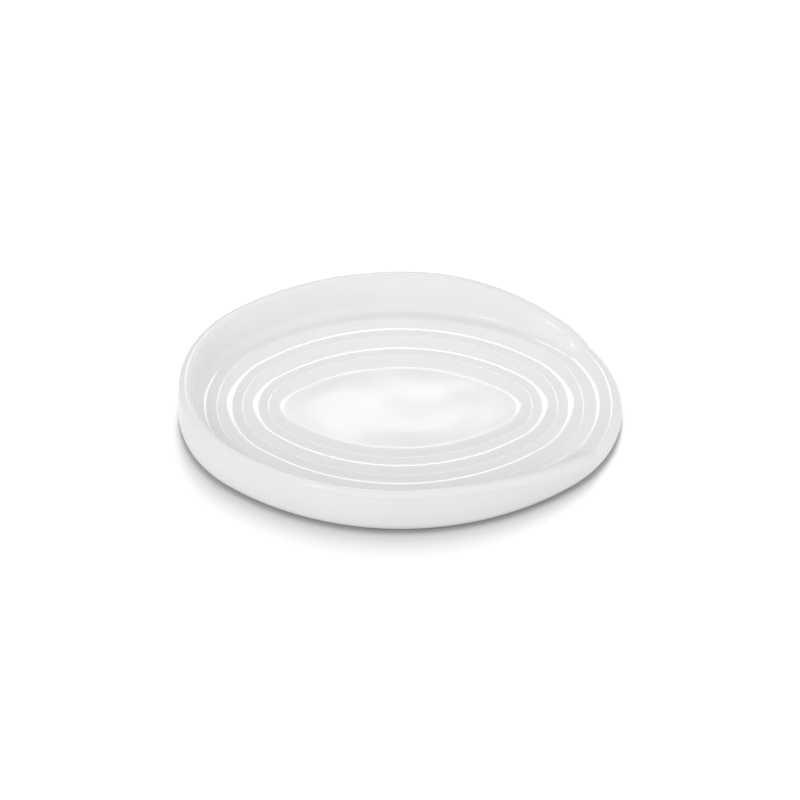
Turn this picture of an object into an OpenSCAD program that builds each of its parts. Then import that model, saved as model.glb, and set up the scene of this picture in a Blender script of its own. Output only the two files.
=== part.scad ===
// Spoon rest: an oval stoneware dish with stepped rings round a flat floor.
// Its wall runs at full height round one end and sweeps down to a low lip at the other,
// where the handle of the spoon lies. X runs along the dish, towards the lip, and Z is up.
// The dish is a loft: one section, of floor, rings, wall, rim and base, is worked out at each
// station round a four-arc oval, where its rim falls to the lip and its last ring widens at the ends.

/* [Floor] */
// length of the flat floor
floor_length = 83.4; // [60:0.2:120]
// width of the flat floor
floor_width = 40.6; // [30:0.2:70]
// radius of the floor's two ends, seen from above
floor_end_radius = 9.6; // [6:0.1:14]
// height of the floor above the table
floor_height = 3.3; // [2.5:0.1:6]

/* [Rings] */
// number of rings round the floor
ring_count = 3; // [1:1:4]
// distance from one ring to the next
ring_pitch = 8.9; // [7:0.1:12]
// climb of the slope to each ring's edge
ring_rise = 1.15; // [0.7:0.05:1.8]
// fall from each ring's edge to the hollow outside it
ring_fall = 0.35; // [0.1:0.05:0.6]
// length of the slope that climbs to each ring
ring_slope_run = 4.4; // [3:0.1:6]
// radius of the hollow at the foot of each slope
ring_hollow_radius = 10; // [2:0.5:12]
// radius of the edge at the head of each slope
ring_edge_radius = 2; // [1:0.5:6]

/* [Wall and lip] */
// distance from the last ring's hollow to the outside of the wall
wall_band = 9.1; // [8:0.1:12]
// how much wider the last ring is at the high end of the dish
end_widening = 2.6; // [0:0.1:2.6]
// how much wider the last ring is at the lip
lip_widening = 0.8; // [0:0.1:1.5]
// height of the rim above the table
rim_height = 18.3; // [14:0.5:28]
// thickness of the rounded rim
rim_thickness = 4.2; // [3:0.1:6]
// thickness of the low lip, which is rounder than the rim
lip_thickness = 6.8; // [5:0.1:8]
// climb of the low lip above the last hollow
lip_rise = 1.7; // [1:0.1:4]
// largest radius at the foot of the wall, inside
wall_hollow_radius = 8; // [1:0.5:10]
// distance that the wall leans in from its widest line up to the rim
wall_lean = 1.4; // [0:0.1:3]
// height of the wall's widest line
belly_height = 5; // [4:0.1:7]

/* [Base] */
// radius of the round from the wall to the foot
base_radius = 4.8; // [3:0.1:6]
// distance from the outside of the wall to the foot ring
foot_inset = 3.6; // [2.5:0.1:6]
// width of the foot ring
foot_width = 5; // [3:0.1:9]
// depth of the hollow inside the foot ring
foot_recess = 0.7; // [0.5:0.1:1.5]

/* [Glaze] */
// thickness of the glaze
glaze_thickness = 0.4; // [0.2:0.05:0.6]
// height above the table where the glaze stops, so that the foot stays bare
glaze_line = 0.9; // [0.7:0.1:1.5]

/* [Hidden] */

// where the rim starts to fall, where its shoulder ends and where the lip starts, along half the length
swoop_start_share = 0.135;
shoulder_share = 0.828;
lip_share = 0.888;
// height of the shoulder, from the lip up to the rim
shoulder_height_share = 0.235;
// how much of an edge a fillet may take up, on a ring and on the two sides of the wall's hollow
fillet_share = 0.45;
hollow_floor_share = 0.5;
hollow_wall_share = 0.25;
// lowest start of the round below the wall, as a share of the height where the rim ends
side_share = 0.92;
// slope of the foot's inner side, as a share of its depth
foot_slope_share = 0.6;
// amount by which a cut or a joint runs past a face
overrun = 0.5;

// stations, as angles of the wall's outward normal, closest where the wall ends
lip_zone = 26;
swoop_zone = 60;
lip_steps = 3;
swoop_steps = 10;
wall_steps = 20;
ring_hollow_steps = 2;
wall_hollow_steps = 4;
rim_steps = 7;
wall_side_steps = 3;
base_steps = 3;

rim_radius = rim_thickness / 2;
lip_radius = lip_thickness / 2;
ring_climb = ring_rise - ring_fall;
rings_width = ring_count * ring_pitch;
floor_inset = wall_band + rings_width;
wall_foot_height = floor_height + ring_count * ring_climb;
lip_height = wall_foot_height + lip_rise;

// the four arcs of the outside, seen from above
half_length = floor_length / 2 + floor_inset;
half_width = floor_width / 2 + floor_inset;
end_radius = floor_end_radius + floor_inset;
end_centre = half_length - end_radius;
side_radius = (end_centre * end_centre + half_width * half_width - end_radius * end_radius)
    / (2 * (half_width - end_radius));
side_centre = side_radius - half_width;
arc_joint = atan2(side_centre, end_centre);

swoop_start = half_length * swoop_start_share;
shoulder_x = half_length * shoulder_share;
lip_x = half_length * lip_share;
shoulder_height = lip_height + (rim_height - lip_height) * shoulder_height_share;
swoop_slope = -2 * (rim_height - shoulder_height) / (shoulder_x - swoop_start);

half_angles = concat(
    [for (i = [0 : lip_steps - 1]) lip_zone * i / lip_steps],
    [for (i = [0 : swoop_steps - 1]) lip_zone + (swoop_zone - lip_zone) * i / swoop_steps],
    [for (i = [0 : wall_steps]) swoop_zone + (180 - swoop_zone) * i / wall_steps]);
angles = concat(half_angles, [for (i = [len(half_angles) - 2 : -1 : 1]) 360 - half_angles[i]]);

// a point of the oval that lies inset inside the outside of the wall
function oval_point(angle, inset) =
    abs(sin(angle)) < sin(arc_joint)
    ? [sign(cos(angle)) * end_centre + (end_radius - inset) * cos(angle), (end_radius - inset) * sin(angle)]
    : [(side_radius - inset) * cos(angle), (side_radius - inset) * sin(angle) - sign(sin(angle)) * side_centre];

// a smooth fall from one height and slope to another height that is level
function eased(low, high, slope, span, t) =
    (2 * t * t * t - 3 * t * t + 1) * high + (t * t * t - 2 * t * t + t) * span * slope
    + (3 * t * t - 2 * t * t * t) * low;

// height of the rim at a place along the dish
function rim_at(x) =
    x <= swoop_start ? rim_height
    : x <= shoulder_x
    ? rim_height + swoop_slope * (x - swoop_start) * (x - swoop_start) / (2 * (shoulder_x - swoop_start))
    : x < lip_x
    ? eased(lip_height, shoulder_height, swoop_slope, lip_x - shoulder_x, (x - shoulder_x) / (lip_x - shoulder_x))
    : lip_height;

// how far the outside lies in from its widest line at a height, on the wall or on the round below it
function inset_at(z) =
    let (
        climb = max(z - belly_height, 0) / (rim_height - belly_height),
        drop = max(base_radius - z, 0))
    wall_lean * climb * climb + base_radius - sqrt(base_radius * base_radius - drop * drop);

// radius of the rim, which grows as the rim falls to the lip
function rim_radius_at(rim) =
    rim_radius + (lip_radius - rim_radius) * sqrt(max(0, (rim_height - rim) / (rim_height - lip_height)));

// how far the foot of the wall moves out towards the two ends of the dish
function foot_shift(rim, angle) =
    cos(angle) * cos(angle)
    * (lip_widening + (end_widening - lip_widening) * (rim - lip_height) / (rim_height - lip_height));

function unit(v) = v / norm(v);

// a round corner in a section, as points on its arc
function fillet(before, corner, after, radius, steps, back_share = fillet_share, ahead_share = fillet_share) =
    let (
        back = unit(before - corner),
        ahead = unit(after - corner),
        half = acos(back * ahead) / 2,
        reach = radius / tan(half),
        start = corner + min(reach, back_share * norm(before - corner)) * back,
        end = corner + min(reach, ahead_share * norm(after - corner)) * ahead,
        weight = sin(half))
    [for (i = [0 : steps])
        let (t = i / steps, a = (1 - t) * (1 - t), b = 2 * t * (1 - t) * weight, c = t * t)
        (a * start + b * corner + c * end) / (a + b + c)];

// points on an arc about a centre, between two angles, in [inset, height]
function arc(centre, radius, from, to, steps) =
    [for (i = [0 : steps])
        let (turn = from + (to - from) * i / steps)
        [centre[0] - radius * cos(turn), centre[1] + radius * sin(turn)]];

// corners of the rings, from the floor to the foot of the wall
function hollow_corner(i) = [floor_inset - i * ring_pitch, floor_height + i * ring_climb];
function edge_corner(i) = hollow_corner(i) + [-ring_slope_run, ring_rise];
floor_point = [floor_inset + floor_end_radius, floor_height];

// the outside of the glaze, from the floor out over the rim and down to the glaze line
function section(rim, angle) =
    let (
        foot = hollow_corner(ring_count) - [foot_shift(rim, angle), 0],
        radius = rim_radius_at(rim),
        centre = [inset_at(rim - radius) + radius, rim - radius],
        away = foot[0] - centre[0],
        up = centre[1] - foot[1],
        slope = atan2(up, away) + asin(radius / norm([away, up])),
        rim_arc = arc(centre, radius, 90 + slope, 0, rim_steps),
        side_top = centre[1],
        side_end = min(base_radius, side_top * side_share),
        first_turn = asin((base_radius - side_end) / base_radius),
        last_turn = asin((base_radius - glaze_line) / base_radius))
    concat(
        [for (i = [0 : ring_count - 1]) each concat(
            fillet(i == 0 ? floor_point : edge_corner(i - 1), hollow_corner(i), edge_corner(i),
                ring_hollow_radius, ring_hollow_steps),
            fillet(hollow_corner(i), edge_corner(i), i + 1 < ring_count ? hollow_corner(i + 1) : foot,
                ring_edge_radius, 1))],
        fillet(edge_corner(ring_count - 1), foot, rim_arc[0], wall_hollow_radius, wall_hollow_steps,
            hollow_floor_share, hollow_wall_share),
        rim_arc,
        [for (i = [1 : wall_side_steps - 1])
            let (z = side_top + (side_end - side_top) * i / wall_side_steps)
            [inset_at(z), z]],
        arc([base_radius, base_radius], base_radius, -first_turn, -last_turn, base_steps));

// the same section moved into the clay by the thickness of the glaze
function side_of(p, q) = let (d = unit(q - p)) [-d[1], d[0]];
function inner_section(outer) =
    [for (i = [0 : len(outer) - 1])
        let (
            before = i == 0 ? side_of(floor_point, outer[0]) : side_of(outer[i - 1], outer[i]),
            after = i == len(outer) - 1 ? before : side_of(outer[i], outer[i + 1]),
            mitre = before + after)
        outer[i] + mitre * 2 * glaze_thickness / (mitre * mitre)];

// the clay's section goes on from the glaze line to the bare foot and the hollow under the floor
foot_inner = foot_inset + foot_width;
recess_inset = foot_inner + foot_recess * foot_slope_share;
function foot_section(start) =
    let (edge = [foot_inset, 0], past = (start[1] + overrun) / start[1])
    [start + (edge - start) * past,
     [foot_inner - overrun * foot_slope_share, -overrun],
     [recess_inset, foot_recess]];

// a closed solid through one chain of points at each station, with flat ends at both ends of the chain
module lofted(chains) {
    stations = len(chains);
    across = len(chains[0]);
    points = [for (i = [0 : stations - 1]) for (p = chains[i])
        let (plan = oval_point(angles[i], p[0]))
        [plan[0], plan[1], p[1]]];
    sides = [for (i = [0 : stations - 1]) for (j = [0 : across - 2])
        let (
            a = i * across + j,
            d = ((i + 1) % stations) * across + j)
        each [[a, d, d + 1], [a, d + 1, a + 1]]];
    top = [for (i = [stations - 1 : -1 : 0]) i * across];
    bottom = [for (i = [0 : stations - 1]) i * across + across - 1];
    polyhedron(points = points, faces = concat(sides, [top, bottom]), convexity = 6);
}

outer_sections = [for (angle = angles) section(rim_at(oval_point(angle, 0)[0]), angle)];
inner_sections = [for (outer = outer_sections) inner_section(outer)];

// the fired clay, cut flat where it stands
module stoneware_body() {
    color([0.86, 0.83, 0.77])
    difference() {
        lofted([for (inner = inner_sections) concat(inner, foot_section(inner[len(inner) - 1]))]);
        translate([-half_length, -half_width, -2 * overrun])
            cube([2 * half_length, 2 * half_width, 2 * overrun]);
    }
}

// the coat of glaze over the dish, and the sheet of it in the hollow under the floor
module glaze_coat() {
    color([0.95, 0.95, 0.94]) {
        lofted([for (i = [0 : len(angles) - 1])
            concat(outer_sections[i], [for (j = [len(inner_sections[i]) - 1 : -1 : 0]) inner_sections[i][j]])]);
        translate([0, 0, foot_recess - glaze_thickness])
            linear_extrude(glaze_thickness)
            polygon([for (angle = angles) oval_point(angle, recess_inset)]);
    }
}

stoneware_body();
glaze_coat();
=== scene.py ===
"""Spoon rest: an oval stoneware dish with stepped rings and a rim that sweeps down to a low lip."""

import math
from typing import NamedTuple

import bmesh
import bpy
from bpy.props import FloatProperty, FloatVectorProperty, IntProperty, PointerProperty
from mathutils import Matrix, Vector


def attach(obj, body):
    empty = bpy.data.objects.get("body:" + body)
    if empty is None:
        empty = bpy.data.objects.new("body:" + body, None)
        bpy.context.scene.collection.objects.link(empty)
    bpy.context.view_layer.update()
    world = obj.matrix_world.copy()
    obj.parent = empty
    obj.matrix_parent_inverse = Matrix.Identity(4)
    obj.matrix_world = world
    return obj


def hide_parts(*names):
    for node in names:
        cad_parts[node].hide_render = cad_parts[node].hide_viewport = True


bl_info = {
    "name": "Spoon rest",
    "version": (1, 0, 0),
    "blender": (4, 5, 0),
    "location": "3D View > Sidebar > Spoon rest",
    "description": "Makes a glazed stoneware spoon rest with stepped rings and a sweeping rim",
    "category": "Add Mesh",
}

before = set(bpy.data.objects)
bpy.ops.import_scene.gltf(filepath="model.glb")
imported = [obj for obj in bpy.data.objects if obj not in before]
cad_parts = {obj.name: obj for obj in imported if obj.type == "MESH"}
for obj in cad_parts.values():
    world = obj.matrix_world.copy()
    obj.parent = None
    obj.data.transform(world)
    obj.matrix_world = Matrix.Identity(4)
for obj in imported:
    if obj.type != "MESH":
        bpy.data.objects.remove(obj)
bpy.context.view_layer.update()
ROOT = "root"

# Fineness of the meshes
MERGE_DISTANCE = 1e-7
SHARP_ANGLE = math.radians(40)
DOME_SHARES = (0.97, 0.92, 0.85, 0.75, 0.62, 0.46, 0.28, 0.12, 0.04)

# Depth of the glaze on a flat, and the length that turns a bend into more or less of it
FLAT_POOL = 0.5
POOL_LENGTH = 0.0012

# Values that a noise texture mostly takes, and their middle
NOISE_SPAN = (0.3, 0.7)
NOISE_MIDDLE = 0.5

# Glaze: depths from thin to full, share of the thin colour in its clouds, and spread of its gloss
THIN_TO_FULL = (0.0, 0.55)
DRIFT_SHARE = 0.35
GLOSS_SHARES = (0.8, 1.3)
GLAZE_IOR = 1.52

# Bands near the edge of the dish's floor, where its dulling ends and where its waves lie down
DULLING_END = (0.94, 1.06)
WAVES_END = (0.6, 0.98)

# Bare clay: how much paler its clouds are, where a speck starts, how dark it is, and roughness
PALE_CLAY = 1.14
SPECK_SPAN = (0.62, 0.72)
SPECK_SHARE = 0.7
CLAY_ROUGHNESS = (0.78, 0.95)

# Floor: its reach to each side, the paper's colour in the light that it throws back and in view,
# and the distances over which it turns plain white in view
FLOOR_REACH = 4.0
LIT_PAPER = (0.3, 0.3, 0.3, 1.0)
SEEN_PAPER = (0.52, 0.52, 0.52, 1.0)
PAPER_TO_WHITE = (0.25, 0.6)

# Studio: light from all round, and more of it from two sides
SKY_LIGHT = 0.6
SEEN_WHITE = 1.0
LEFT_DIRECTION = (-0.545, -0.779, 0.309)
LEFT_LIGHT = 1.4
RIGHT_DIRECTION = (0.991, 0.087, 0.105)
RIGHT_LIGHT = 1.2
SIDE_FOCUS = 3.0

# Camera
CAMERA_LENS = 103.2
CAMERA_SENSOR = 36.0
CAMERA_CLIP = 0.01
CAMERA_TILT = math.radians(45.8)
CAMERA_TARGET = Vector((-0.0001, 0.0, 0.0070))
CAMERA_DISTANCE = 0.8


class SoftBox(NamedTuple):
    """A lamp with a cloth front: angles in degrees, sizes in metres and its evenly lit share."""

    name: str
    azimuth: float
    elevation: float
    distance: float
    width: float
    height: float
    brightness: float
    even_share: float


SOFT_BOXES = (
    SoftBox("back_box", 0.0, 47.4, 0.69, 0.25, 0.118, 5.2, 0.6),
    SoftBox("front_box", -142.0, 52.0, 1.0, 0.14, 0.4, 4.0, 0.5),
    SoftBox("floor_box", 0.0, 77.0, 2.0, 0.5, 2.04, 16.0, 1.0),
)


class SpoonRestSizes(bpy.types.PropertyGroup):
    """Sizes of the dish, in the same frame as the CAD model."""

    floor_length: FloatProperty(
        name="Floor length",
        description="Length of the flat floor",
        default=0.0834,
        unit="LENGTH",
    )
    floor_width: FloatProperty(
        name="Floor width",
        description="Width of the flat floor",
        default=0.0406,
        unit="LENGTH",
    )
    floor_end_radius: FloatProperty(
        name="Floor end radius",
        description="Radius of the floor's two ends, seen from above",
        default=0.0096,
        unit="LENGTH",
    )
    floor_crown: FloatProperty(
        name="Floor crown",
        description="How far the floor of the dish swells from its edge to its middle",
        default=0.00047,
        unit="LENGTH",
    )
    floor_height: FloatProperty(
        name="Floor height",
        description="Height of the floor above the table",
        default=0.0033,
        unit="LENGTH",
    )
    ring_count: IntProperty(
        name="Rings",
        description="Number of rings round the floor",
        default=3,
        min=1,
        max=4,
    )
    ring_pitch: FloatProperty(
        name="Ring pitch",
        description="Distance from one ring to the next",
        default=0.0089,
        unit="LENGTH",
    )
    ring_rise: FloatProperty(
        name="Ring rise",
        description="Climb of the slope to each ring's edge",
        default=0.00115,
        unit="LENGTH",
    )
    ring_fall: FloatProperty(
        name="Ring fall",
        description="Fall from each ring's edge to the hollow outside it",
        default=0.00035,
        unit="LENGTH",
    )
    ring_slope_run: FloatProperty(
        name="Ring slope",
        description="Length of the slope that climbs to each ring",
        default=0.0044,
        unit="LENGTH",
    )
    ring_hollow_radius: FloatProperty(
        name="Ring hollow radius",
        description="Radius of the hollow at the foot of each slope",
        default=0.01,
        unit="LENGTH",
    )
    ring_edge_radius: FloatProperty(
        name="Ring edge radius",
        description="Radius of the edge at the head of each slope",
        default=0.002,
        unit="LENGTH",
    )
    wall_band: FloatProperty(
        name="Wall band",
        description="Distance from the last ring's hollow to the outside of the wall",
        default=0.0091,
        unit="LENGTH",
    )
    end_widening: FloatProperty(
        name="End widening",
        description="How much wider the last ring is at the high end of the dish",
        default=0.0026,
        unit="LENGTH",
    )
    lip_widening: FloatProperty(
        name="Lip widening",
        description="How much wider the last ring is at the lip",
        default=0.0008,
        unit="LENGTH",
    )
    rim_height: FloatProperty(
        name="Rim height",
        description="Height of the rim above the table",
        default=0.0183,
        unit="LENGTH",
    )
    rim_thickness: FloatProperty(
        name="Rim thickness",
        description="Thickness of the rounded rim",
        default=0.0042,
        unit="LENGTH",
    )
    lip_thickness: FloatProperty(
        name="Lip thickness",
        description="Thickness of the low lip, which is rounder than the rim",
        default=0.0068,
        unit="LENGTH",
    )
    lip_rise: FloatProperty(
        name="Lip rise",
        description="Climb of the low lip above the last hollow",
        default=0.0017,
        unit="LENGTH",
    )
    wall_hollow_radius: FloatProperty(
        name="Wall hollow radius",
        description="Largest radius at the foot of the wall, inside",
        default=0.008,
        unit="LENGTH",
    )
    wall_lean: FloatProperty(
        name="Wall lean",
        description="Distance that the wall leans in from its widest line up to the rim",
        default=0.0014,
        unit="LENGTH",
    )
    belly_height: FloatProperty(
        name="Belly height",
        description="Height of the wall's widest line",
        default=0.005,
        unit="LENGTH",
    )
    base_radius: FloatProperty(
        name="Base radius",
        description="Radius of the round from the wall to the foot",
        default=0.0048,
        unit="LENGTH",
    )
    foot_inset: FloatProperty(
        name="Foot inset",
        description="Distance from the outside of the wall to the foot ring",
        default=0.0036,
        unit="LENGTH",
    )
    foot_width: FloatProperty(
        name="Foot width",
        description="Width of the foot ring",
        default=0.005,
        unit="LENGTH",
    )
    foot_recess: FloatProperty(
        name="Foot recess",
        description="Depth of the hollow inside the foot ring",
        default=0.0007,
        unit="LENGTH",
    )
    glaze_thickness: FloatProperty(
        name="Glaze thickness",
        description="Thickness of the glaze",
        default=0.0004,
        unit="LENGTH",
    )
    glaze_line: FloatProperty(
        name="Glaze line",
        description="Height above the table where the glaze stops",
        default=0.0009,
        unit="LENGTH",
    )


class SpoonRestColours(bpy.types.PropertyGroup):
    """Colours and finish of the glaze and the bare clay."""

    glaze_colour: FloatVectorProperty(
        name="Glaze",
        description="Colour of the white glaze",
        subtype="COLOR",
        size=4,
        min=0.0,
        max=1.0,
        default=(0.80, 0.80, 0.80, 1.0),
    )
    thin_glaze_colour: FloatVectorProperty(
        name="Thin glaze",
        description="Colour of the glaze where it runs thin over an edge",
        subtype="COLOR",
        size=4,
        min=0.0,
        max=1.0,
        default=(0.76, 0.758, 0.753, 1.0),
    )
    clay_colour: FloatVectorProperty(
        name="Clay",
        description="Colour of the bare fired clay",
        subtype="COLOR",
        size=4,
        min=0.0,
        max=1.0,
        default=(0.62, 0.54, 0.43, 1.0),
    )
    speck_colour: FloatVectorProperty(
        name="Clay specks",
        description="Colour of the dark grains in the clay",
        subtype="COLOR",
        size=4,
        min=0.0,
        max=1.0,
        default=(0.30, 0.23, 0.16, 1.0),
    )
    glaze_roughness: FloatProperty(
        name="Glaze roughness",
        description="Roughness of the glaze",
        default=0.05,
        min=0.0,
        max=1.0,
        subtype="FACTOR",
    )
    floor_dulling: FloatProperty(
        name="Floor dulling",
        description="How much rougher the glaze is on the floor of the dish, where spoons lie",
        default=0.14,
        min=0.0,
        max=0.5,
        subtype="FACTOR",
    )


class Dish:
    """The outline and the section of the dish, worked out from its sizes."""

    # Places on the rim's swoop, as shares of half the length and of the wall above the lip
    swoop_start_share = 0.135
    shoulder_share = 0.828
    lip_share = 0.888
    shoulder_height_share = 0.235

    # How far a round may reach along the two lines that it joins
    fillet_share = 0.45
    hollow_floor_share = 0.5
    hollow_wall_share = 0.25

    # Where the side ends on a low wall, and how far the recess under the floor slopes
    side_share = 0.92
    foot_slope_share = 0.6

    # Rounds on the two edges of the foot ring
    outer_foot_radius = 0.0004
    inner_foot_radius = 0.0003

    # Steps on each round and line of the section
    hollow_steps = 6
    edge_steps = 4
    wall_foot_steps = 12
    rim_steps = 20
    side_steps = 8
    base_steps = 8
    foot_steps = 3

    # Stations round half of the oval: first angle, last angle and steps, in degrees
    station_bands = ((0, 24, 16), (24, 60, 60), (60, 180, 80))

    def __init__(self, sizes):
        self.sizes = sizes
        self.ring_climb = sizes.ring_rise - sizes.ring_fall
        self.glaze_floor = sizes.floor_height + sizes.floor_crown
        self.clay_floor = self.glaze_floor - sizes.glaze_thickness
        self.floor_inset = sizes.wall_band + sizes.ring_count * sizes.ring_pitch
        self.lip_height = sizes.floor_height + sizes.ring_count * self.ring_climb + sizes.lip_rise
        self.half_length = sizes.floor_length / 2 + self.floor_inset
        self.half_width = sizes.floor_width / 2 + self.floor_inset
        self.end_radius = sizes.floor_end_radius + self.floor_inset
        self.end_centre = self.half_length - self.end_radius
        spare = self.half_width - self.end_radius
        reach = self.end_centre**2 + self.half_width**2 - self.end_radius**2
        self.side_radius = reach / (2 * spare)
        self.side_centre = self.side_radius - self.half_width
        self.arc_joint = math.atan2(self.side_centre, self.end_centre)
        self.swoop_start = self.half_length * self.swoop_start_share
        self.shoulder_x = self.half_length * self.shoulder_share
        self.lip_x = self.half_length * self.lip_share
        wall_height = sizes.rim_height - self.lip_height
        self.shoulder_height = self.lip_height + wall_height * self.shoulder_height_share
        drop = sizes.rim_height - self.shoulder_height
        self.swoop_slope = -2 * drop / (self.shoulder_x - self.swoop_start)

    def oval_point(self, angle, inset):
        """A point of the oval that lies inset inside the outside of the wall."""
        normal_x = math.cos(angle)
        normal_y = math.sin(angle)
        if abs(normal_y) < math.sin(self.arc_joint):
            radius = self.end_radius - inset
            return math.copysign(self.end_centre, normal_x) + radius * normal_x, radius * normal_y
        radius = self.side_radius - inset
        return radius * normal_x, radius * normal_y - math.copysign(self.side_centre, normal_y)

    def rim_at(self, x):
        """Height of the rim at a place along the dish."""
        top = self.sizes.rim_height
        if x <= self.swoop_start:
            return top
        if x <= self.shoulder_x:
            run = x - self.swoop_start
            return top + self.swoop_slope * run**2 / (2 * (self.shoulder_x - self.swoop_start))
        if x >= self.lip_x:
            return self.lip_height
        # A cubic that leaves the shoulder at the swoop's slope and meets the lip level
        span = self.lip_x - self.shoulder_x
        t = (x - self.shoulder_x) / span
        start = (2 * t**3 - 3 * t**2 + 1) * self.shoulder_height
        lead = (t**3 - 2 * t**2 + t) * span * self.swoop_slope
        return start + lead + (3 * t**2 - 2 * t**3) * self.lip_height

    def inset_at(self, height):
        """How far the outside lies in from its widest line at a height."""
        sizes = self.sizes
        climb = max(height - sizes.belly_height, 0) / (sizes.rim_height - sizes.belly_height)
        drop = max(sizes.base_radius - height, 0)
        lean = sizes.wall_lean * climb**2
        return lean + sizes.base_radius - math.sqrt(sizes.base_radius**2 - drop**2)

    def rim_radius_at(self, rim):
        """Radius of the rim, which grows as the rim falls to the lip."""
        sizes = self.sizes
        fallen = (sizes.rim_height - rim) / (sizes.rim_height - self.lip_height)
        grown = math.sqrt(max(fallen, 0.0))
        return (sizes.rim_thickness + (sizes.lip_thickness - sizes.rim_thickness) * grown) / 2

    def foot_shift(self, rim, angle):
        """How far the foot of the wall moves out towards the two ends of the dish."""
        sizes = self.sizes
        height_share = (rim - self.lip_height) / (sizes.rim_height - self.lip_height)
        widening = sizes.lip_widening + (sizes.end_widening - sizes.lip_widening) * height_share
        return widening * math.cos(angle) ** 2

    def floor_slope(self, angle):
        """How steeply the crowned floor falls to its edge."""
        x, y = self.oval_point(angle, self.floor_inset)
        return 2 * self.sizes.floor_crown / (x * math.cos(angle) + y * math.sin(angle))

    def fillet(self, before, corner, after, radius, steps, shares=(fillet_share, fillet_share)):
        """A round corner of the section, as points on its arc; shares limit it on its two sides."""
        back = before - corner
        ahead = after - corner
        half = back.angle(ahead) / 2
        reach = radius / math.tan(half)
        start = corner + min(reach, shares[0] * back.length) * back.normalized()
        end = corner + min(reach, shares[1] * ahead.length) * ahead.normalized()
        # Three weighted points give a true arc where neither side limits it
        weight = math.sin(half)
        points = []
        for step in range(steps + 1):
            t = step / steps
            a = (1 - t) ** 2
            b = 2 * t * (1 - t) * weight
            c = t**2
            points.append((a * start + b * corner + c * end) / (a + b + c))
        return points

    def arc(self, centre, radius, first, last, steps):
        """Points on an arc of the section, as inset and height."""
        points = []
        for step in range(steps + 1):
            turn = first + (last - first) * step / steps
            points.append(centre + radius * Vector((-math.cos(turn), math.sin(turn))))
        return points

    def hollow_corner(self, ring):
        """The corner at the foot of a ring's slope, before it is rounded."""
        sizes = self.sizes
        height = sizes.floor_height + ring * self.ring_climb
        return Vector((self.floor_inset - ring * sizes.ring_pitch, height))

    def edge_corner(self, ring):
        """The corner at the head of a ring's slope, before it is rounded."""
        sizes = self.sizes
        return self.hollow_corner(ring) + Vector((-sizes.ring_slope_run, sizes.ring_rise))

    def section(self, rim, angle):
        """The outside of the glaze, from the floor out over the rim and down to the glaze line."""
        sizes = self.sizes
        corners = [self.hollow_corner(ring) for ring in range(sizes.ring_count + 1)]
        corners[-1].x -= self.foot_shift(rim, angle)
        foot = corners[-1]
        radius = self.rim_radius_at(rim)
        below = rim - radius
        centre = Vector((self.inset_at(below) + radius, below))
        away = foot - centre
        slope = math.atan2(-away.y, away.x) + math.asin(radius / away.length)
        rim_arc = self.arc(centre, radius, math.pi / 2 + slope, 0, self.rim_steps)
        side_end = min(sizes.base_radius, below * self.side_share)
        first_turn = math.asin((sizes.base_radius - side_end) / sizes.base_radius)
        last_turn = math.asin((sizes.base_radius - sizes.glaze_line) / sizes.base_radius)
        points = []
        swell = sizes.floor_end_radius * self.floor_slope(angle)
        before = Vector((self.floor_inset + sizes.floor_end_radius, sizes.floor_height + swell))
        for ring in range(sizes.ring_count):
            hollow = corners[ring]
            edge = self.edge_corner(ring)
            points += self.fillet(before, hollow, edge, sizes.ring_hollow_radius, self.hollow_steps)
            after = corners[ring + 1]
            points += self.fillet(hollow, edge, after, sizes.ring_edge_radius, self.edge_steps)
            before = edge
        shares = (self.hollow_floor_share, self.hollow_wall_share)
        hollow_radius = sizes.wall_hollow_radius
        points += self.fillet(before, foot, rim_arc[0], hollow_radius, self.wall_foot_steps, shares)
        points += rim_arc
        for step in range(1, self.side_steps):
            height = below + (side_end - below) * step / self.side_steps
            points.append(Vector((self.inset_at(height), height)))
        base = Vector((sizes.base_radius, sizes.base_radius))
        return points + self.arc(base, sizes.base_radius, -first_turn, -last_turn, self.base_steps)

    def inner_section(self, outer):
        """The same section moved into the clay by the thickness of the glaze."""
        points = []
        level = Vector((0, -1))
        for place, point in enumerate(outer):
            before = level
            if place > 0:
                before = self.side_of(outer[place - 1], point)
            after = before
            if place + 1 < len(outer):
                after = self.side_of(point, outer[place + 1])
            mitre = before + after
            points.append(point + mitre * (2 * self.sizes.glaze_thickness / mitre.length_squared))
        return points

    def side_of(self, start, end):
        """The direction from a line of the section into the clay."""
        ahead = (end - start).normalized()
        return Vector((-ahead.y, ahead.x))

    def recess_inset(self):
        """Where the hollow under the floor begins, in from the outside of the wall."""
        sizes = self.sizes
        return sizes.foot_inset + sizes.foot_width + sizes.foot_recess * self.foot_slope_share

    def foot_section(self, start):
        """The clay's section from the glaze line to the bare foot and the hollow under the floor."""
        sizes = self.sizes
        outer = Vector((sizes.foot_inset, 0))
        inner = Vector((sizes.foot_inset + sizes.foot_width, 0))
        recess = Vector((self.recess_inset(), sizes.foot_recess))
        outer_round = self.fillet(start, outer, inner, self.outer_foot_radius, self.foot_steps)
        inner_round = self.fillet(outer, inner, recess, self.inner_foot_radius, self.foot_steps)
        return outer_round + inner_round + [recess]

    def stations(self):
        """Angles of the wall's outward normal, closest together where the wall ends."""
        angles = []
        for first, last, steps in self.station_bands:
            angles += [first + (last - first) * step / steps for step in range(steps)]
        other_half = [360 - angle for angle in reversed(angles[1:])]
        return [math.radians(angle) for angle in angles + [180] + other_half]


def pool_of(chain):
    """How deep the glaze pools at each point: 1 in a hollow, 0 over an edge, a half on a flat."""
    depths = []
    for place, point in enumerate(chain):
        if place == 0 or place + 1 == len(chain):
            depths.append(FLAT_POOL)
            continue
        before = point - chain[place - 1]
        after = chain[place + 1] - point
        turn = after.angle_signed(before)
        bend = 2 * turn / (before.length + after.length)
        depths.append(min(max(FLAT_POOL - bend * POOL_LENGTH, 0.0), 1.0))
    return depths


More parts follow.
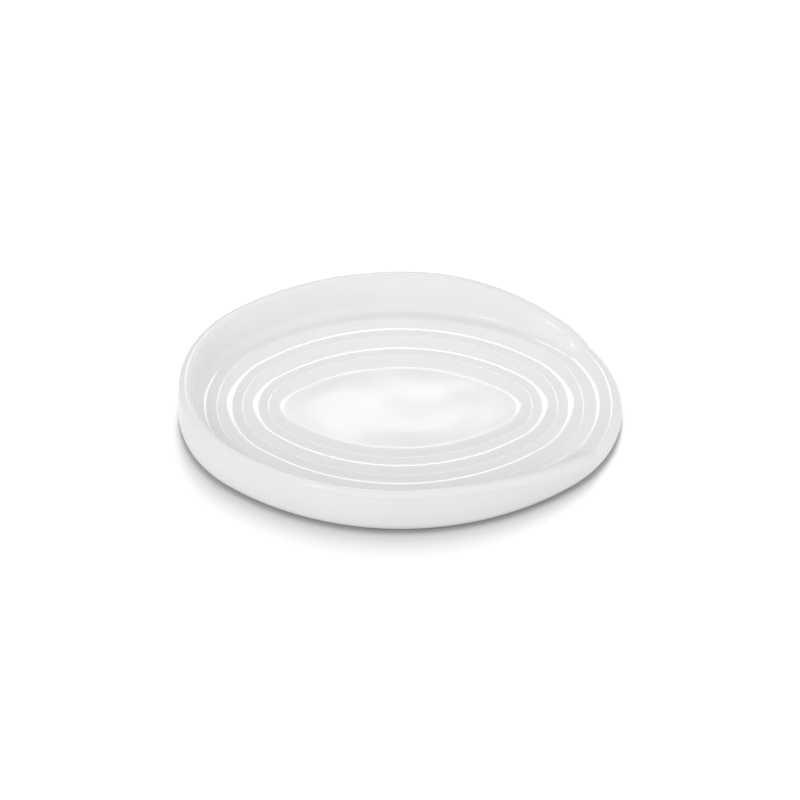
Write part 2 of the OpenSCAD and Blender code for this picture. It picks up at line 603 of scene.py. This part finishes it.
def loft(name, dish, chain_at, caps):
    """Extrudes one section from station to station round the oval and closes it into a solid.

    Each cap is a place on the section and the height of its domed middle, or None for a flat one.
    """
    bm = bmesh.new()
    place_layer = bm.verts.layers.int.new("section_place")
    pool_layer = bm.verts.layers.float.new("pool")
    first_chain = chain_at(dish.lip_height, 0)
    row = [bm.verts.new((0, 0, 0)) for point in first_chain]
    for place, vert in enumerate(row):
        vert[place_layer] = place
    edges = [bm.edges.new(pair) for pair in zip(row, row[1:])]
    for angle in dish.stations() + [math.tau]:
        outer_x = dish.oval_point(angle, 0)[0]
        chain = chain_at(dish.rim_at(outer_x), angle)
        depths = pool_of(chain)
        if angle > 0:
            made = bmesh.ops.extrude_edge_only(bm, edges=edges)["geom"]
            row = [item for item in made if isinstance(item, bmesh.types.BMVert)]
            edges = [item for item in made if isinstance(item, bmesh.types.BMEdge)]
        for vert in row:
            inset, height = chain[vert[place_layer]]
            x, y = dish.oval_point(angle, inset)
            vert.co = (x, y, height)
            vert[pool_layer] = depths[vert[place_layer]]
    bmesh.ops.remove_doubles(bm, verts=bm.verts, dist=MERGE_DISTANCE)
    for cap, middle in caps:
        edges = [edge for edge in bm.edges if all(vert[place_layer] == cap for vert in edge.verts)]
        if middle is not None:
            edges = dome(bm, edges, middle)
        bmesh.ops.edgeloop_fill(bm, edges=edges)
    bm.verts.layers.int.remove(place_layer)
    return finish_piece(name, bm)


def dome(bm, edges, middle):
    """Extrudes an edge loop inwards in a shallow dome that is highest at its middle."""
    share = 1.0
    for next_share in DOME_SHARES:
        made = bmesh.ops.extrude_edge_only(bm, edges=edges)["geom"]
        edges = [item for item in made if isinstance(item, bmesh.types.BMEdge)]
        ratio = next_share / share
        for vert in made:
            if isinstance(vert, bmesh.types.BMVert):
                x, y, z = vert.co
                vert.co = (x * ratio, y * ratio, middle + (z - middle) * ratio**2)
        share = next_share
    return edges


def finish_piece(name, bm):
    """Turns a bmesh into a smooth object in the scene."""
    bmesh.ops.recalc_face_normals(bm, faces=bm.faces)
    mesh = bpy.data.meshes.new(name)
    bm.to_mesh(mesh)
    bm.free()
    mesh.shade_smooth()
    mesh.set_sharp_from_angle(angle=SHARP_ANGLE)
    piece = bpy.data.objects.new(name, mesh)
    bpy.context.scene.collection.objects.link(piece)
    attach(piece, ROOT)
    return piece


class NodeTree:
    """The nodes of one material, lamp or world."""

    def __init__(self, tree):
        self.tree = tree
        tree.nodes.clear()

    def add(self, kind, inputs=None, **settings):
        """Adds a node; each of its inputs is joined to another node's output or set to a value."""
        node = self.tree.nodes.new(kind)
        for name, value in settings.items():
            setattr(node, name, value)
        for key, value in (inputs or {}).items():
            if isinstance(value, bpy.types.NodeSocket):
                self.tree.links.new(value, node.inputs[key])
            else:
                node.inputs[key].default_value = value
        return node


def new_material(name):
    """An empty material and its nodes."""
    material = bpy.data.materials.new(name)
    material.use_nodes = True
    return material, NodeTree(material.node_tree)


def noise(nodes, where, scale, detail):
    """Soft random clouds, mostly within NOISE_SPAN."""
    node = nodes.add("ShaderNodeTexNoise", {"Vector": where, "Scale": scale, "Detail": detail})
    return node.outputs["Fac"]


def spread(nodes, source, span, target=(0.0, 1.0)):
    """Maps a value from one span to another and holds it at the ends."""
    inputs = {
        "Value": source,
        "From Min": span[0],
        "From Max": span[1],
        "To Min": target[0],
        "To Max": target[1],
    }
    return nodes.add("ShaderNodeMapRange", inputs).outputs["Result"]


def maths(nodes, operation, *terms):
    """One step of arithmetic on node outputs and plain numbers."""
    node = nodes.add("ShaderNodeMath", dict(enumerate(terms)), operation=operation)
    return node.outputs["Value"]


def length_of(nodes, vector):
    """The length of a vector."""
    return nodes.add("ShaderNodeVectorMath", {0: vector}, operation="LENGTH").outputs["Value"]


def blend_colours(nodes, factor, first, second):
    """The first colour where the factor is 0 and the second where it is 1."""
    inputs = {"Factor": factor, "A": first, "B": second}
    return nodes.add("ShaderNodeMix", inputs, data_type="RGBA").outputs["Result"]


def bump(nodes, height, distance, strength, normal=None):
    """Turns a height into a fine relief, on top of an earlier one if there is one."""
    inputs = {"Height": height, "Distance": distance, "Strength": strength}
    if normal is not None:
        inputs["Normal"] = normal
    return nodes.add("ShaderNodeBump", inputs).outputs["Normal"]


def finish_surface(nodes, inputs):
    """Ends a material with one surface shader."""
    surface = nodes.add("ShaderNodeBsdfPrincipled", inputs)
    nodes.add("ShaderNodeOutputMaterial", {"Surface": surface.outputs["BSDF"]})


def floor_reach(nodes, where, sizes):
    """0 in the middle of the flat floor of the dish, 1 round its edge."""
    scale = (2 / sizes.floor_length, 2 / sizes.floor_width, 0.0)
    share = nodes.add("ShaderNodeVectorMath", {0: where, 1: scale}, operation="MULTIPLY")
    return length_of(nodes, share.outputs["Vector"])


def glaze_material(sizes, colours):
    """White glaze: glossy, a little wavy, thin over edges and pooled in hollows."""
    material, nodes = new_material("white_glaze")
    where = nodes.add("ShaderNodeTexCoord").outputs["Object"]
    pool = nodes.add("ShaderNodeAttribute", attribute_name="pool").outputs["Fac"]
    clouds = noise(nodes, where, scale=60.0, detail=3.0)
    grain = noise(nodes, where, scale=900.0, detail=2.0)
    waves = noise(nodes, where, scale=38.0, detail=1.0)
    reach = floor_reach(nodes, where, sizes)
    full = tuple(colours.glaze_colour)
    thin = tuple(colours.thin_glaze_colour)
    coat = blend_colours(nodes, spread(nodes, pool, THIN_TO_FULL), thin, full)
    drift = spread(nodes, clouds, NOISE_SPAN, (0.0, DRIFT_SHARE))
    gloss = [colours.glaze_roughness * share for share in GLOSS_SHARES]
    worn = spread(nodes, reach, DULLING_END, (1.0, 0.0))
    uneven = spread(nodes, clouds, NOISE_SPAN, gloss)
    wavy = spread(nodes, reach, WAVES_END, (1.0, 0.0))
    swell = maths(nodes, "MULTIPLY", maths(nodes, "SUBTRACT", waves, NOISE_MIDDLE), wavy)
    relief = bump(nodes, swell, distance=0.0011, strength=1.0)
    finish_surface(
        nodes,
        {
            "Base Color": blend_colours(nodes, drift, coat, thin),
            "Roughness": maths(nodes, "MULTIPLY_ADD", worn, colours.floor_dulling, uneven),
            "IOR": GLAZE_IOR,
            "Normal": bump(nodes, grain, distance=0.000002, strength=0.5, normal=relief),
        },
    )
    return material


def clay_material(colours):
    """Bare fired clay: matt, buff and full of fine dark grains."""
    material, nodes = new_material("bare_stoneware")
    where = nodes.add("ShaderNodeTexCoord").outputs["Object"]
    clouds = noise(nodes, where, scale=120.0, detail=4.0)
    specks = noise(nodes, where, scale=1400.0, detail=2.0)
    grain = noise(nodes, where, scale=2600.0, detail=3.0)
    warm = tuple(colours.clay_colour)
    pale = tuple(min(part * PALE_CLAY, 1.0) for part in warm[:3]) + (1.0,)
    body = blend_colours(nodes, spread(nodes, clouds, NOISE_SPAN), warm, pale)
    dots = spread(nodes, specks, SPECK_SPAN, (0.0, SPECK_SHARE))
    finish_surface(
        nodes,
        {
            "Base Color": blend_colours(nodes, dots, body, tuple(colours.speck_colour)),
            "Roughness": spread(nodes, grain, NOISE_SPAN, CLAY_ROUGHNESS),
            "Normal": bump(nodes, grain, distance=0.00005, strength=0.6),
        },
    )
    return material


class SPOONREST_OT_clay(bpy.types.Operator):
    """Make the fired clay body with its bare foot ring"""

    bl_idname = "spoon_rest.clay"
    bl_label = "Clay body"
    bl_options = {"REGISTER", "UNDO"}

    def execute(self, context):
        dish = Dish(context.scene.spoon_rest_sizes)

        def chain_at(rim, angle):
            inner = dish.inner_section(dish.section(rim, angle))
            return inner + dish.foot_section(inner[-1])

        last = len(chain_at(dish.lip_height, 0)) - 1
        piece = loft("clay_body", dish, chain_at, ((0, dish.clay_floor), (last, None)))
        piece.data.materials.append(clay_material(context.scene.spoon_rest_colours))
        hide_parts("stoneware_body")
        return {"FINISHED"}


class SPOONREST_OT_glaze(bpy.types.Operator):
    """Make the coat of glaze over the dish, and the sheet of it in the hollow under the floor"""

    bl_idname = "spoon_rest.glaze"
    bl_label = "Glaze"
    bl_options = {"REGISTER", "UNDO"}

    def execute(self, context):
        sizes = context.scene.spoon_rest_sizes
        dish = Dish(sizes)

        def chain_at(rim, angle):
            outer = dish.section(rim, angle)
            return outer + dish.inner_section(outer)[::-1]

        def sheet_at(rim, angle):
            inset = dish.recess_inset()
            low = sizes.foot_recess - sizes.glaze_thickness
            return [Vector((inset, sizes.foot_recess)), Vector((inset, low))]

        material = glaze_material(sizes, context.scene.spoon_rest_colours)
        last = len(chain_at(dish.lip_height, 0)) - 1
        coat = loft("dish_glaze", dish, chain_at, ((0, dish.glaze_floor), (last, dish.clay_floor)))
        sheet = loft("under_glaze", dish, sheet_at, ((0, None), (1, None)))
        for piece in (coat, sheet):
            piece.data.materials.append(material)
            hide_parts("glaze_coat")
        return {"FINISHED"}


class SPOONREST_OT_stage(bpy.types.Operator):
    """Set out the pale floor, the soft lights and the camera"""

    bl_idname = "spoon_rest.stage"
    bl_label = "Stage"
    bl_options = {"REGISTER", "UNDO"}

    def execute(self, context):
        scene = context.scene
        floor = make_floor(scene)
        make_world(scene)
        make_lights(scene, floor)
        make_camera(scene)
        scene.view_settings.view_transform = "Standard"
        return {"FINISHED"}


def seen_rays(nodes):
    """1 for a ray that shows the background: straight to the camera, or by way of gloss or glass."""
    path = nodes.add("ShaderNodeLightPath").outputs
    shown = maths(nodes, "MAXIMUM", path["Is Camera Ray"], path["Is Glossy Ray"])
    return maths(nodes, "MAXIMUM", shown, path["Is Transmission Ray"])


def make_floor(scene):
    """White paper that keeps the dish's shadow, and shows as plain white further off."""
    bm = bmesh.new()
    bmesh.ops.create_grid(bm, x_segments=1, y_segments=1, size=FLOOR_REACH)
    mesh = bpy.data.meshes.new("floor")
    bm.to_mesh(mesh)
    bm.free()
    floor = bpy.data.objects.new("floor", mesh)
    scene.collection.objects.link(floor)
    material, nodes = new_material("white_paper")
    seen = seen_rays(nodes)
    paper = blend_colours(nodes, seen, LIT_PAPER, SEEN_PAPER)
    matt = nodes.add("ShaderNodeBsdfDiffuse", {"Color": paper}).outputs["BSDF"]
    white = nodes.add("ShaderNodeEmission").outputs["Emission"]
    away = length_of(nodes, nodes.add("ShaderNodeTexCoord").outputs["Object"])
    far = maths(nodes, "MULTIPLY", spread(nodes, away, PAPER_TO_WHITE), seen)
    surface = nodes.add("ShaderNodeMixShader", {0: far, 1: matt, 2: white}).outputs["Shader"]
    nodes.add("ShaderNodeOutputMaterial", {"Surface": surface})
    floor.data.materials.append(material)
    return floor


def side_light(nodes, direction, brightness):
    """Light that is brightest from one direction and fades round it."""
    ray = nodes.add("ShaderNodeTexCoord").outputs["Generated"]
    facing = nodes.add("ShaderNodeVectorMath", {0: ray, 1: direction}, operation="DOT_PRODUCT")
    front = spread(nodes, facing.outputs["Value"], (0.0, 1.0))
    lobe = maths(nodes, "POWER", front, SIDE_FOCUS)
    return spread(nodes, lobe, (0.0, 1.0), (0.0, brightness))


def make_world(scene):
    """A white studio with more light from the left and the right, that shows as plain white."""
    world = bpy.data.worlds.new("studio")
    world.use_nodes = True
    nodes = NodeTree(world.node_tree)
    left = side_light(nodes, LEFT_DIRECTION, LEFT_LIGHT)
    right = side_light(nodes, RIGHT_DIRECTION, RIGHT_LIGHT)
    light = maths(nodes, "ADD", maths(nodes, "ADD", left, right), SKY_LIGHT)
    levels = {"Factor": seen_rays(nodes), "A": light, "B": SEEN_WHITE}
    strength = nodes.add("ShaderNodeMix", levels, data_type="FLOAT").outputs["Result"]
    sky = nodes.add("ShaderNodeBackground", {"Color": (1.0, 1.0, 1.0, 1.0), "Strength": strength})
    nodes.add("ShaderNodeOutputWorld", {"Surface": sky.outputs["Background"]})
    scene.world = world


def soften(light, even_share):
    """Lets a box fade from its evenly lit middle to nothing at its edge, as a cloth front does."""
    light.use_nodes = True
    nodes = NodeTree(light.node_tree)
    corner = nodes.add("ShaderNodeNewGeometry").outputs["Parametric"]
    centred = {0: corner, 1: (2.0, 2.0, 0.0), 2: (-1.0, -1.0, 0.0)}
    place = nodes.add("ShaderNodeVectorMath", centred, operation="MULTIPLY_ADD")
    reach = length_of(nodes, place.outputs["Vector"])
    glow = spread(nodes, reach, (even_share, 1.0), (1.0, 0.0))
    cloth = nodes.add("ShaderNodeEmission", {"Strength": glow})
    nodes.add("ShaderNodeOutputLight", {"Surface": cloth.outputs["Emission"]})


def make_lights(scene, floor):
    """The soft boxes, of which the one over the floor lights nothing else."""
    lamps = {}
    for box in SOFT_BOXES:
        light = bpy.data.lights.new(box.name, "AREA")
        light.shape = "RECTANGLE"
        light.size = box.width
        light.size_y = box.height
        light.energy = box.brightness * math.pi * box.width * box.height
        if box.even_share < 1.0:
            soften(light, box.even_share)
        lamp = bpy.data.objects.new(box.name, light)
        side = math.radians(box.azimuth)
        up = math.radians(box.elevation)
        level = math.cos(up)
        ahead = Vector((math.sin(side) * level, math.cos(side) * level, math.sin(up)))
        lamp.location = ahead * box.distance
        lamp.rotation_euler = (-ahead).to_track_quat("-Z", "Y").to_euler()
        scene.collection.objects.link(lamp)
        lamps[box.name] = lamp
    floor_only = bpy.data.collections.new("floor_only")
    floor_only.objects.link(floor)
    lamps["floor_box"].light_linking.receiver_collection = floor_only


def make_camera(scene):
    """The camera, which looks down at the dish from its long side."""
    camera = bpy.data.cameras.new("camera")
    camera.lens = CAMERA_LENS
    camera.sensor_width = CAMERA_SENSOR
    camera.clip_start = CAMERA_CLIP
    view = bpy.data.objects.new("camera", camera)
    back = Vector((0.0, -math.cos(CAMERA_TILT), math.sin(CAMERA_TILT)))
    view.location = CAMERA_TARGET + CAMERA_DISTANCE * back
    view.rotation_euler = (math.pi / 2 - CAMERA_TILT, 0.0, 0.0)
    scene.collection.objects.link(view)
    scene.camera = view


class SPOONREST_PT_sidebar(bpy.types.Panel):
    """Lists the steps, the sizes and the colours of the spoon rest"""

    bl_idname = "SPOONREST_PT_sidebar"
    bl_label = "Spoon rest"
    bl_space_type = "VIEW_3D"
    bl_region_type = "UI"
    bl_category = "Spoon rest"

    def draw(self, context):
        layout = self.layout
        for step in STEPS:
            layout.operator(step.bl_idname)
        for group in (context.scene.spoon_rest_sizes, context.scene.spoon_rest_colours):
            column = layout.column()
            for name in group.__annotations__:
                column.prop(group, name)


STEPS = (SPOONREST_OT_clay, SPOONREST_OT_glaze, SPOONREST_OT_stage)
CLASSES = (SpoonRestSizes, SpoonRestColours) + STEPS + (SPOONREST_PT_sidebar,)


def register():
    for kind in CLASSES:
        bpy.utils.register_class(kind)
    bpy.types.Scene.spoon_rest_sizes = PointerProperty(type=SpoonRestSizes)
    bpy.types.Scene.spoon_rest_colours = PointerProperty(type=SpoonRestColours)


def unregister():
    del bpy.types.Scene.spoon_rest_colours
    del bpy.types.Scene.spoon_rest_sizes
    for kind in reversed(CLASSES):
        bpy.utils.unregister_class(kind)


def main():
    register()
    bpy.ops.spoon_rest.clay()
    bpy.ops.spoon_rest.glaze()
    bpy.ops.spoon_rest.stage()


if __name__ == "__main__":
    main()
